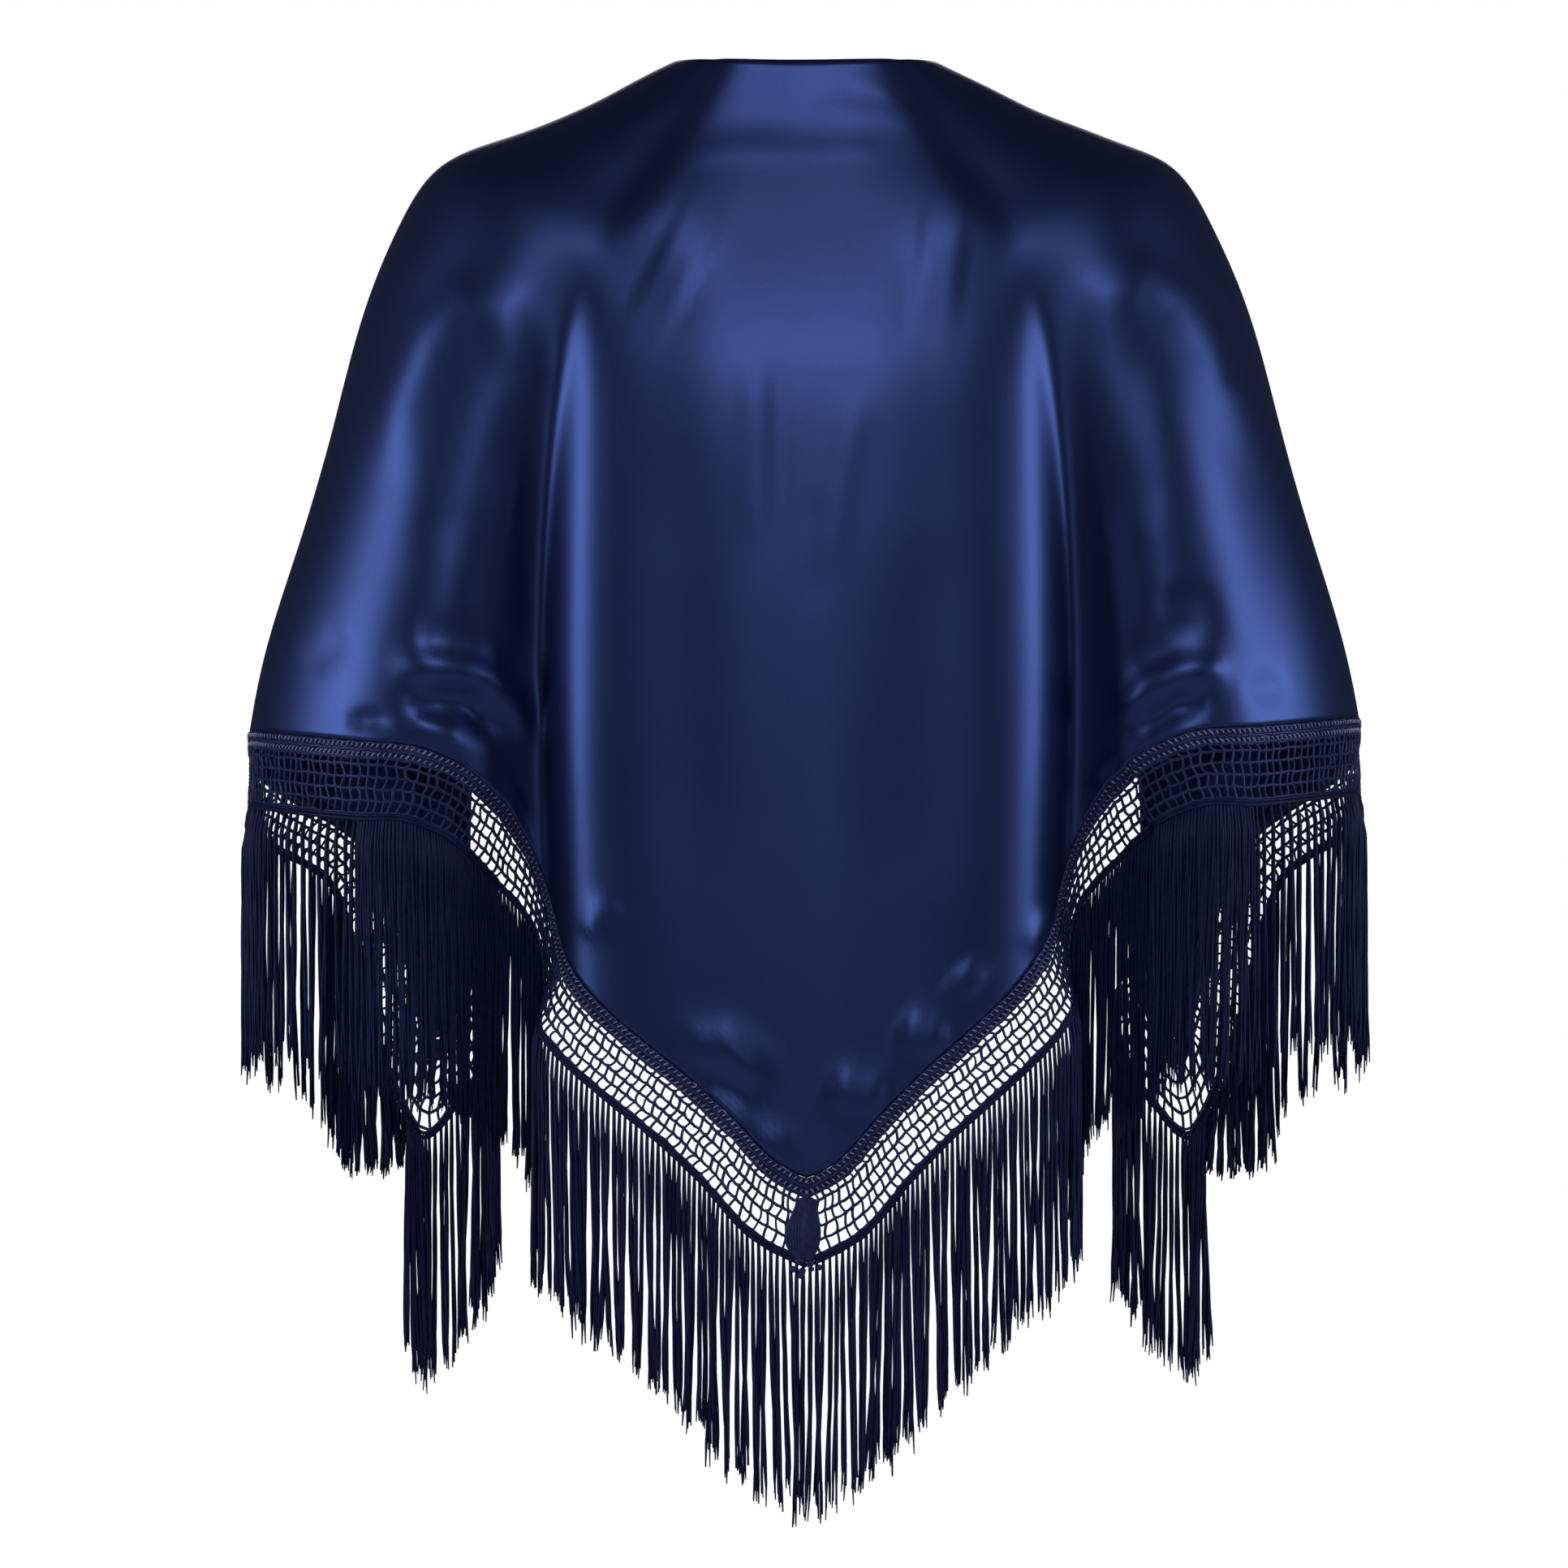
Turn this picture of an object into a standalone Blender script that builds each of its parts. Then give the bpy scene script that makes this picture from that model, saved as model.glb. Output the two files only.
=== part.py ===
# Flamenco shawl, worn: a satin triangle over the shoulders and arms, edged on its two short sides with a
# knotted heading, a net band and a long fringe. Metres, +Z up, the open front faces +Y and the left side is -X.
# The origin is between the shoulders, at the height where the cloth rests on them.

import math

import bmesh
import bpy
import numpy as np
from mathutils import Vector

CLOTH_THICK = 0.0012
HEADING_THICK = 0.0016
NET_THICK = 0.0014
STRIP_THICK = 0.0018

# The trim in its order out from the cloth's edge, as shares of the trim's whole width there.
HEADING_SHARE = 0.20
NET_SHARE = 0.91
SEAM_SHARE = 0.030

CLOTH_ROWS = 17

STRAND_PITCH = 0.0090
STRAND_WIDE = 0.0024
STRAND_LENGTH = 0.148
STRAND_END_SHARE = 0.55
STRAND_UNEVEN = 0.006
STRAND_SWAY = 0.003
STEEPEST_STRAND_ROOT = 0.88
STRAND_CLEAR = 0.0042

# Where the named lines of the cloth lie across it, from 0 at the centre back to 1 at the front edge.
ACROSS = {
    "back": 0.0,
    "mid": 0.11,
    "column": 0.225,
    "valley": 0.33,
    "inner": 0.425,
    "arm": 0.53,
    "out": 0.71,
    "front": 0.85,
    "lapel": 0.93,
    "edge": 1.0,
}

# How far each line has come from the centre back's height to the arm's, or from the arm's to the front edge's.
RISE_TO_ARM = {"mid": 0.06, "column": 0.26, "valley": 0.42, "inner": 0.62, "arm": 0.84}
FALL_TO_EDGE = {"front": 0.35, "lapel": 0.75}

# One row for each ring of the cloth, from the neck down, in millimetres. fall is the way down the cloth over
# the arm; out is the outermost line, over the arm; column is the turning side of the back; valley is the
# hollow between back and arm; edge is the front edge.
RING_COLUMNS = (
    "fall", "out_x", "out_z", "back_y", "back_z", "mid_y", "column_y", "valley_x", "valley_y",
    "inner_y", "arm_y", "front_y", "edge_x", "edge_y", "edge_z",
)
RINGS = (
    (0, 77.5, 70, -60, 67, -59, -56, 52, -47, -41, -30, 24, 66, 36, 58),
    (32, 106, 56.5, -67, 36, -66, -62, 66, -53, -46, -34, 34, 70, 55, 30),
    (70, 141, 39.5, -79, 0, -78, -73, 83, -63, -55, -41, 44, 76, 74, -5),
    (115, 187, 22.5, -94, -43, -93, -88, 108, -76, -67, -50, 52, 86, 90, -48),
    (150, 215.5, 8.5, -105, -77, -103, -92, 125, -86, -78, -60, 56, 98, 97, -83),
    (187, 234.5, -19.5, -114, -113, -112, -98, 136, -88, -85, -67, 59, 110, 100, -118),
    (243, 256.5, -70, -121, -168, -118.5, -101, 145, -84, -90, -75, 62, 130, 100, -165),
    (317, 277, -143, -126, -242, -123, -103, 152, -78, -94, -82, 64, 158, 95, -225),
    (387, 296.5, -210, -127, -312, -124, -104, 155, -74, -95, -85, 65, 184, 88, -290),
    (450, 315, -271.5, -126.5, -375, -123.5, -104, 155, -72, -96, -88, 66, 198, 82, -345),
    (499, 324.5, -320, -126, -424, -123, -103, 154, -70, -96, -89, 66, 200, 78, -390),
    (660, 335, -480, -122, -585, -119, -100, 151, -68, -95, -88, 68, 196, 74, -550),
)

# The back's ridge stands this far inside its valley.
COLUMN_TURN_SHARE = 0.15
OUT_DEPTH = 0.001
INNER_SHARE = 0.28
ARM_SHARE = 0.62
FRONT_SHARE = 0.878
LAPEL_SHARE = 0.24
LAPEL_PUFF = 0.003

# The fringed edge of the cloth, from the back point to past the front tip: its height on the left, and how
# much higher it lies on the right.
HEM_COLUMNS = ("across", "height", "right_lift")
HEM = (
    (0.000, -0.5744, 0.000),
    (0.030, -0.5660, 0.000),
    (0.070, -0.5430, 0.002),
    (0.110, -0.5200, 0.004),
    (0.225, -0.4620, 0.010),
    (0.270, -0.4400, 0.011),
    (0.330, -0.3980, 0.013),
    (0.375, -0.3620, 0.011),
    (0.425, -0.3380, 0.010),
    (0.475, -0.3285, 0.009),
    (0.530, -0.3260, 0.008),
    (0.710, -0.3200, 0.008),
    (0.780, -0.3380, 0.006),
    (0.850, -0.3620, 0.004),
    (0.880, -0.3800, 0.002),
    (0.900, -0.4080, 0.000),
    (0.915, -0.4500, 0.000),
    (0.930, -0.5030, 0.000),
    (0.945, -0.4970, 0.000),
    (0.970, -0.4680, 0.000),
    (1.000, -0.4400, 0.000),
)

# From the cloth's edge to the lower edge of the trim: outwards, forwards and down.
TRIM_COLUMNS = ("across", "out", "deep", "drop")
TRIM = (
    (0.000, 0.000, 0.000, 0.0515),
    (0.030, 0.013, 0.000, 0.0450),
    (0.070, 0.022, 0.000, 0.0340),
    (0.225, 0.022, 0.002, 0.0340),
    (0.275, 0.010, 0.018, 0.0330),
    (0.330, 0.004, 0.012, 0.0380),
    (0.375, 0.016, 0.002, 0.0360),
    (0.425, 0.014, -0.002, 0.0400),
    (0.530, 0.001, -0.003, 0.0460),
    (0.710, -0.002, 0.000, 0.0460),
    (0.800, 0.012, 0.000, 0.0400),
    (0.850, 0.021, 0.000, 0.0340),
    (0.880, 0.026, 0.000, 0.0280),
    (0.900, 0.033, 0.000, 0.0200),
    (0.917, 0.036, 0.000, 0.0160),
    (0.930, 0.009, 0.000, 0.0610),
    (0.945, -0.004, 0.000, 0.0480),
    (0.970, -0.018, 0.000, 0.0380),
    (1.000, -0.016, 0.000, 0.0400),
)

# The largest folds, each a soft ridge (or a trough, where height is negative) that runs down the cloth.
# across and fall are where it starts and ends; left of the centre back across is negative.
FOLD_COLUMNS = ("across_top", "across_end", "fall_top", "fall_end", "wide", "height")
FOLDS = (
    (-0.078, -0.060, 0.16, 0.50, 0.030, 0.0025),
    (0.022, 0.030, 0.17, 0.46, 0.022, 0.0025),
    (-0.018, -0.020, 0.20, 0.56, 0.026, -0.0020),
    (-0.500, -0.560, 0.17, 0.30, 0.045, 0.0040),
    (0.490, 0.540, 0.17, 0.30, 0.045, 0.0040),
)

# Names of the pieces of trim on each side, with where each starts and ends across.
TRIM_SPANS = {"back": (0.0, 0.30), "sleeve": (0.30, 0.71), "front": (0.71, 1.0)}
COLUMNS_BETWEEN = {"back": ((0.0, 0.30, 13),), "sleeve": ((0.30, 0.71, 14),),
                   "front": ((0.71, 0.93, 13), (0.93, 1.0, 5))}
END_GAP = 0.0006
SIDES = {"left": -1, "right": 1}


# Spline basis: one column for each knot, so that values @ basis runs smoothly through all of them.
def basis(knots, at):
    knots, at = np.asarray(knots, float), np.asarray(at, float)
    count, step = len(knots), np.diff(knots)
    system, bend = np.eye(count), np.zeros((count, count))
    for i in range(1, count - 1):
        system[i, i - 1 : i + 2] = step[i - 1], 2 * (step[i - 1] + step[i]), step[i]
        bend[i, i - 1 : i + 2] = 6 / step[i - 1], -6 / step[i - 1] - 6 / step[i], 6 / step[i]
    second = np.linalg.solve(system, bend)
    i = np.clip(np.searchsorted(knots, at) - 1, 0, count - 2)
    low, high, width = at - knots[i], knots[i + 1] - at, step[i]
    rows = np.eye(count)
    start = (high / width)[:, None] * rows[i] + (low / width)[:, None] * rows[i + 1]
    curve_low = ((high**3 / width - high * width) / 6)[:, None] * second[i]
    curve_high = ((low**3 / width - low * width) / 6)[:, None] * second[i + 1]
    return start + curve_low + curve_high


# The shape-keeping curve through a table's rows, which doesn't swing past them.
def steady(knots, values, at):
    knots, values, at = (np.asarray(x, float) for x in (knots, values, at))
    step = np.diff(knots)
    slope = np.diff(values) / step
    lean = np.zeros(len(knots))
    for i in range(1, len(knots) - 1):
        if slope[i - 1] * slope[i] > 0:
            near, far = 2 * step[i] + step[i - 1], step[i] + 2 * step[i - 1]
            lean[i] = (near + far) / (near / slope[i - 1] + far / slope[i])
    lean[0], lean[-1] = slope[0] / 2, slope[-1]
    i = np.clip(np.searchsorted(knots, at) - 1, 0, len(step) - 1)
    t = (at - knots[i]) / step[i]
    ends = (1 + 2 * t) * (1 - t) ** 2 * values[i] + t * t * (3 - 2 * t) * values[i + 1]
    return ends + step[i] * (t * (1 - t) ** 2 * lean[i] - t * t * (1 - t) * lean[i + 1])


def ring_stations():
    table = np.array(RINGS) / 1000
    ring = {name: table[:, i] for i, name in enumerate(RING_COLUMNS)}
    x, y, z = {}, {}, {}
    x["back"], y["back"], z["back"] = 0 * ring["fall"], ring["back_y"], ring["back_z"]
    x["out"], y["out"], z["out"] = ring["out_x"], 0 * ring["fall"] + OUT_DEPTH, ring["out_z"]
    x["edge"], y["edge"], z["edge"] = ring["edge_x"], ring["edge_y"], ring["edge_z"]
    x["valley"], y["valley"] = ring["valley_x"], ring["valley_y"]
    x["column"], y["column"] = (1 - COLUMN_TURN_SHARE) * ring["valley_x"], ring["column_y"]
    x["mid"], y["mid"] = x["column"] / 2, ring["mid_y"]
    arm_span = ring["out_x"] - ring["valley_x"]
    x["inner"], y["inner"] = ring["valley_x"] + INNER_SHARE * arm_span, ring["inner_y"]
    x["arm"], y["arm"] = ring["valley_x"] + ARM_SHARE * arm_span, ring["arm_y"]
    x["front"], y["front"] = FRONT_SHARE * ring["out_x"], ring["front_y"]
    x["lapel"] = ring["edge_x"] + LAPEL_SHARE * (x["front"] - ring["edge_x"])
    y["lapel"] = (ring["front_y"] + ring["edge_y"]) / 2 + LAPEL_PUFF
    for name, share in RISE_TO_ARM.items():
        z[name] = z["back"] + share * (z["out"] - z["back"])
    for name, share in FALL_TO_EDGE.items():
        z[name] = z["out"] + share * (z["edge"] - z["out"])
    half = np.stack([np.stack([x[n], y[n], z[n]], axis=1) for n in ACROSS], axis=1)
    mirrored = half[:, :0:-1] * (-1, 1, 1)
    across = np.array(list(ACROSS.values()))
    return ring["fall"], np.concatenate([mirrored, half], axis=1), np.concatenate([-across[:0:-1], across])


FALLS, STATIONS, STATION_ACROSS = ring_stations()


def smooth_surface(across, fall):
    over = basis(STATION_ACROSS, across)
    down = basis(FALLS, fall)
    return np.einsum("pr,rsc,ps->pc", down, STATIONS, over)


def outward(across, fall):
    small = 1e-3
    by_across = smooth_surface(across + small, fall) - smooth_surface(across - small, fall)
    by_fall = smooth_surface(across, fall + small) - smooth_surface(across, fall - small)
    normal = np.cross(by_fall, by_across)
    return normal / np.linalg.norm(normal, axis=1)[:, None]


def fold_height(across, fall):
    total = np.zeros(len(across))
    for row in FOLDS:
        fold = dict(zip(FOLD_COLUMNS, row))
        along = (fall - fold["fall_top"]) / (fold["fall_end"] - fold["fall_top"])
        line = fold["across_top"] + np.clip(along, 0, 1) * (fold["across_end"] - fold["across_top"])
        fade = np.sin(math.pi * np.clip(along, 0, 1) ** 0.8) ** 1.2
        total += fold["height"] * fade * np.exp(-(((across - line) / fold["wide"]) ** 2))
    return total


def cloth_points(across, fall):
    across, fall = np.asarray(across, float), np.asarray(fall, float)
    return smooth_surface(across, fall) + fold_height(across, fall)[:, None] * outward(across, fall)


# How far down the cloth reaches at each place across, from the table of its fringed edge.
def reach_table():
    places, tries = np.linspace(0, 1, 401), np.linspace(FALLS[0], FALLS[-1], 400)
    hem = np.array(HEM)
    height = steady(hem[:, 0], hem[:, 1], places)
    lifted = height + steady(hem[:, 0], hem[:, 2], places)
    z = np.einsum("pr,rs,as->ap", basis(FALLS, tries), STATIONS[:, :, 2], basis(STATION_ACROSS, places))
    left = [np.interp(-low, -column, tries) for low, column in zip(height, z)]
    right = [np.interp(-low, -column, tries) for low, column in zip(lifted, z)]
    return np.concatenate([-places[:0:-1], places]), np.concatenate([left[:0:-1], right])


REACH_PLACES, REACH_FALLS = reach_table()


def hem_fall(across):
    return np.interp(across, REACH_PLACES, REACH_FALLS)


def hem_points(across):
    return cloth_points(across, hem_fall(across))


# A point of the trim: share 0 is on the cloth's edge, share 1 is the trim's lower edge.
def trim_points(side, across, share):
    table = np.array(TRIM)
    move = np.stack([steady(table[:, 0], table[:, i], across) for i in (1, 2, 3)], axis=1)
    return hem_points(side * across) + share[:, None] * move * (side, 1, -1)


def material(name, colour, roughness):
    made = bpy.data.materials.new(name)
    made.use_nodes = True
    shader = made.node_tree.nodes["Principled BSDF"]
    shader.inputs["Base Color"].default_value = (*colour, 1)
    shader.inputs["Roughness"].default_value = roughness
    shader.inputs["Metallic"].default_value = 0
    return made


def add_object(name, bm, collection, finish):
    mesh = bpy.data.meshes.new(name)
    bm.to_mesh(mesh)
    bm.free()
    mesh.shade_smooth()
    mesh.set_sharp_from_angle(angle=math.radians(40))
    made = bpy.data.objects.new(name, mesh)
    made.data.materials.append(finish)
    collection.objects.link(made)
    return made


# A sheet of columns by rows quads on the given points, row after row, with Solidify for its thickness.
def add_sheet(name, points, columns, rows, thick, collection, finish):
    bm = bmesh.new()
    bmesh.ops.create_grid(bm, x_segments=columns, y_segments=rows, size=1)
    bm.verts.ensure_lookup_table()
    for vertex, point in zip(bm.verts, points):
        vertex.co = point
    made = add_object(name, bm, collection, finish)
    wall = made.modifiers.new("wall", "SOLIDIFY")
    wall.thickness = thick
    wall.offset = 0
    wall.use_even_offset = True
    return made


# Places spread along the fringed edge for each named span; the cloth and all its trim share them, so that
# their edges run side by side.
def span_places(name):
    found = []
    for start, end, count in COLUMNS_BETWEEN[name]:
        fine = np.linspace(start, end, 400)
        line = (hem_points(fine) + trim_points(1, fine, np.ones(400))) / 2
        along = np.concatenate([[0], np.cumsum(np.linalg.norm(np.diff(line, axis=0), axis=1))])
        found.append(np.interp(np.linspace(0, along[-1], count + 1), along, fine))
    return np.unique(np.concatenate(found).round(6))


def add_cloth(collection, finish):
    half = np.unique(np.concatenate([span_places(name) for name in TRIM_SPANS]))
    across = np.concatenate([-half[:0:-1], half])
    reach = hem_fall(across)
    rows = [cloth_points(across, reach * row / CLOTH_ROWS) for row in range(CLOTH_ROWS + 1)]
    return add_sheet("satin_cloth", np.concatenate(rows), len(across) - 1, CLOTH_ROWS, CLOTH_THICK,
                     collection, finish)


# The span's places with its two ends drawn in a little, so that neighbouring pieces stay apart.
def open_ended(places):
    places = places.copy()
    places[0] += END_GAP
    places[-1] -= END_GAP * (places[-1] < 1)
    return places


def add_band(name, side, places, shares, rows, thick, collection, finish):
    points = []
    for row in range(rows + 1):
        share = shares[0] + (shares[1] - shares[0]) * row / rows
        points.append(trim_points(side, places, np.full(len(places), share)))
    return add_sheet(name, np.concatenate(points), len(places) - 1, rows, thick, collection, finish)


# A line of the trim with a point every so often, on the straight pieces between the shared places.
def stepped_line(side, places, share, stops):
    line = trim_points(side, places, np.full(len(places), share))
    return np.stack([np.interp(stops, places, line[:, i]) for i in range(3)], axis=1)


# Fringe: a narrow strip along the net's lower edge, whose underside grows a strand at every other place.
def add_fringe(name, side, places, shares, blocked_by, collection, finish, draws):
    line = trim_points(side, places, np.ones(len(places)))
    along = np.concatenate([[0], np.cumsum(np.linalg.norm(np.diff(line, axis=0), axis=1))])
    count = 2 * round(along[-1] / STRAND_PITCH) + 2
    stops = np.interp(np.linspace(0, along[-1], count), along, places)
    top = stepped_line(side, places, shares[0], stops)
    foot = stepped_line(side, places, shares[1], stops)
    run = np.gradient(foot, axis=0)
    face = np.cross(run, foot - top)
    face /= np.linalg.norm(face, axis=1)[:, None]
    bm = bmesh.new()
    bmesh.ops.create_grid(bm, x_segments=count - 1, y_segments=1, size=1)
    bm.verts.ensure_lookup_table()
    under = np.concatenate([foot + face * STRIP_THICK / 2, foot - face * STRIP_THICK / 2])
    for vertex, point in zip(bm.verts, under):
        vertex.co = point
    grown = bmesh.ops.extrude_face_region(bm, geom=bm.faces[:], use_keep_orig=True)
    raised = [v for v in grown["geom"] if isinstance(v, bmesh.types.BMVert)]
    for vertex in raised:
        nearest = int(np.argmin(np.linalg.norm(under - np.array(vertex.co), axis=1))) % count
        vertex.co = Vector(vertex.co) + Vector(top[nearest] - foot[nearest])
    bm.faces.ensure_lookup_table()
    columns = range(1, count - 1, 2)
    roots = [bm.faces[i] for i in columns]
    last = None
    for column, root in zip(columns, roots):
        centre = np.array(root.calc_center_median())
        steep = abs(run[column][2]) / np.linalg.norm(run[column])
        close = last is not None and np.linalg.norm(centre[:2] - last[:2]) < 1.6 * STRAND_WIDE
        near = np.linalg.norm(blocked_by[:, :2] - centre[:2], axis=1) < STRAND_CLEAR
        below = blocked_by[:, 2] < centre[2] - 0.008
        if steep > STEEPEST_STRAND_ROOT or close or np.any(near & below):
            continue
        last = centre
        grow_strand(bm, root, run[column], face[column], draws)
    bmesh.ops.recalc_face_normals(bm, faces=bm.faces)
    return add_object(name, bm, collection, finish)


def grow_strand(bm, root, run, face, draws):
    centre = np.array(root.calc_center_median())
    sideways = np.array([run[0], run[1], 0.0])
    sideways /= np.linalg.norm(sideways)
    depth = np.array([-sideways[1], sideways[0], 0.0])
    if np.dot(depth, face) < 0:
        depth = -depth
    long = STRAND_LENGTH + draws.uniform(-STRAND_UNEVEN, STRAND_UNEVEN)
    sway = draws.uniform(-STRAND_SWAY, STRAND_SWAY)
    signs = [(np.sign(np.dot(np.array(v.co) - centre, run)), np.sign(np.dot(np.array(v.co) - centre, face)))
             for v in root.verts]
    section = root
    for share, wide in ((0.10, 1.0), (1.0, STRAND_END_SHARE)):
        section = bmesh.ops.extrude_discrete_faces(bm, faces=[section])["faces"][0]
        middle = centre + (0, 0, -long * share) + sideways * sway * share
        for vertex, (along, through) in zip(section.verts, signs):
            corner = sideways * along * STRAND_WIDE * wide / 2 + depth * through * STRIP_THICK * wide / 2
            vertex.co = middle + corner


def main():
    for old in list(bpy.data.objects):
        bpy.data.objects.remove(old)
    shawl = bpy.data.collections.new("flamenco_shawl")
    bpy.context.scene.collection.children.link(shawl)
    satin = material("navy satin", (0.016, 0.030, 0.150), 0.38)
    cord = material("navy knotted cord", (0.008, 0.012, 0.065), 0.60)
    thread = material("navy fringe thread", (0.008, 0.014, 0.075), 0.50)
    add_cloth(shawl, satin)
    draws = np.random.default_rng(7)
    heading = SEAM_SHARE, HEADING_SHARE
    net = HEADING_SHARE + SEAM_SHARE, NET_SHARE
    strip = NET_SHARE + SEAM_SHARE, 1.0
    spans = {name: span_places(name) for name in TRIM_SPANS}
    whole = np.unique(np.concatenate(list(spans.values())))
    whole[0] += END_GAP
    for side_name, side in SIDES.items():
        add_band(f"heading_{side_name}", side, whole, heading, 1, HEADING_THICK, shawl, cord)
        fine = np.linspace(0, 1, 700)
        trim = np.concatenate([trim_points(side, fine, np.full(700, share)) for share in (0.1, 0.4, 0.7, 1.0)])
        for part, places in spans.items():
            places = open_ended(places)
            add_band(f"net_{part}_{side_name}", side, places, net, 2, NET_THICK, shawl, cord)
            add_fringe(f"fringe_{part}_{side_name}", side, places, strip, trim, shawl, thread, draws)


main()
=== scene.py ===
import math

import bmesh
import bpy
import numpy as np
from mathutils import Matrix, Vector


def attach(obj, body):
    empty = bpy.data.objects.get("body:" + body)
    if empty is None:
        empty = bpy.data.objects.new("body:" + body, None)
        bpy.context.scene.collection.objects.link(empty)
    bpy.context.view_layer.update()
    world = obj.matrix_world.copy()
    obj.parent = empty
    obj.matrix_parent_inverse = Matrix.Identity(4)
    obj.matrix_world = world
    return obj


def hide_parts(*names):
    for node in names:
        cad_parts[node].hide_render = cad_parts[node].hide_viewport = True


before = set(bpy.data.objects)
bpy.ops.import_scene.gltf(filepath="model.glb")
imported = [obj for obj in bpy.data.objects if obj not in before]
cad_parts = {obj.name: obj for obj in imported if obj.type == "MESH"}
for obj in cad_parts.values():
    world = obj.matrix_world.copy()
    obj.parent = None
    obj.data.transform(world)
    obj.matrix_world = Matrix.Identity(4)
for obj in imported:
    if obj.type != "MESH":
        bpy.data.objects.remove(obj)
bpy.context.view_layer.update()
print("frame loaded")

# The cloth's lines, from 0 at the middle of the back to 1 at the front edge, and how those that the table below
# doesn't give lie between their neighbours.
shape = {
    "across": {"back": 0.0, "mid": 0.11, "column": 0.225, "valley": 0.33, "inner": 0.425, "arm": 0.53,
               "out": 0.71, "front": 0.85, "lapel": 0.93, "edge": 1.0},
    "riseToArm": {"mid": 0.06, "column": 0.26, "valley": 0.42, "inner": 0.62, "arm": 0.84},
    "fallToEdge": {"front": 0.35, "lapel": 0.75},
    "columnTurn": 0.15, "outDepth": 0.001, "inner": 0.28, "arm": 0.62, "front": 0.878,
    "lapel": 0.24, "lapelPuff": 0.003,
}
samples = {"places": 401, "tries": 400, "edge": 1601, "line": 1600, "cloth": 1200}
# One row for each ring of the cloth, from the neck down, in millimetres. The edge is the front edge.
ringColumns = ("fall", "outX", "outZ", "backY", "backZ", "midY", "columnY", "valleyX", "valleyY",
               "innerY", "armY", "frontY", "edgeX", "edgeY", "edgeZ")
ringRows = (
    (0, 77.5, 70, -60, 67, -59, -56, 52, -47, -41, -30, 24, 66, 36, 58),
    (32, 106, 56.5, -67, 36, -66, -62, 66, -53, -46, -34, 34, 70, 55, 30),
    (70, 141, 39.5, -79, 0, -78, -73, 83, -63, -55, -41, 44, 76, 74, -5),
    (115, 187, 22.5, -94, -43, -93, -88, 108, -76, -67, -50, 52, 86, 90, -48),
    (150, 215.5, 8.5, -105, -77, -103, -92, 125, -86, -78, -60, 56, 98, 97, -83),
    (187, 234.5, -19.5, -114, -113, -112, -98, 136, -88, -85, -67, 59, 110, 100, -118),
    (243, 256.5, -70, -121, -168, -118.5, -101, 145, -84, -90, -75, 62, 130, 100, -165),
    (317, 277, -143, -126, -242, -123, -103, 152, -78, -94, -82, 64, 158, 95, -225),
    (387, 296.5, -210, -127, -312, -124, -104, 155, -74, -95, -85, 65, 184, 88, -290),
    (450, 315, -271.5, -126.5, -375, -123.5, -104, 155, -72, -96, -88, 66, 198, 82, -345),
    (499, 324.5, -320, -126, -424, -123, -103, 154, -70, -96, -89, 66, 200, 78, -390),
    (660, 335, -480, -122, -585, -119, -100, 151, -68, -95, -88, 68, 196, 74, -550),
)
# Fringed edge of the cloth: across, height on the left, how much higher it lies on the right.
hemRows = (
    (0.000, -0.5744, 0.000), (0.030, -0.5660, 0.000), (0.070, -0.5430, 0.002), (0.110, -0.5200, 0.004),
    (0.225, -0.4620, 0.010), (0.270, -0.4400, 0.011), (0.330, -0.3980, 0.013), (0.375, -0.3620, 0.011),
    (0.425, -0.3380, 0.010), (0.475, -0.3285, 0.009), (0.530, -0.3260, 0.008), (0.710, -0.3200, 0.008),
    (0.780, -0.3380, 0.006), (0.850, -0.3620, 0.004), (0.880, -0.3800, 0.002), (0.900, -0.4080, 0.000),
    (0.915, -0.4500, 0.000), (0.930, -0.5030, 0.000), (0.945, -0.4970, 0.000), (0.970, -0.4680, 0.000),
    (1.000, -0.4400, 0.000),
)
# From the cloth's edge to the trim's lower edge: across, outwards, forwards, down.
trimRows = (
    (0.000, 0.000, 0.000, 0.0515), (0.030, 0.013, 0.000, 0.0450), (0.070, 0.022, 0.000, 0.0340),
    (0.225, 0.022, 0.002, 0.0340), (0.275, 0.010, 0.018, 0.0330), (0.330, 0.004, 0.012, 0.0380),
    (0.375, 0.016, 0.002, 0.0360), (0.425, 0.014, -0.002, 0.0400), (0.530, 0.001, -0.003, 0.0460),
    (0.710, -0.002, 0.000, 0.0460), (0.800, 0.012, 0.000, 0.0400), (0.850, 0.021, 0.000, 0.0340),
    (0.880, 0.026, 0.000, 0.0280), (0.900, 0.033, 0.000, 0.0200), (0.917, 0.036, 0.000, 0.0160),
    (0.930, 0.009, 0.000, 0.0610), (0.945, -0.004, 0.000, 0.0480), (0.970, -0.018, 0.000, 0.0380),
    (1.000, -0.016, 0.000, 0.0400),
)


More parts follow.
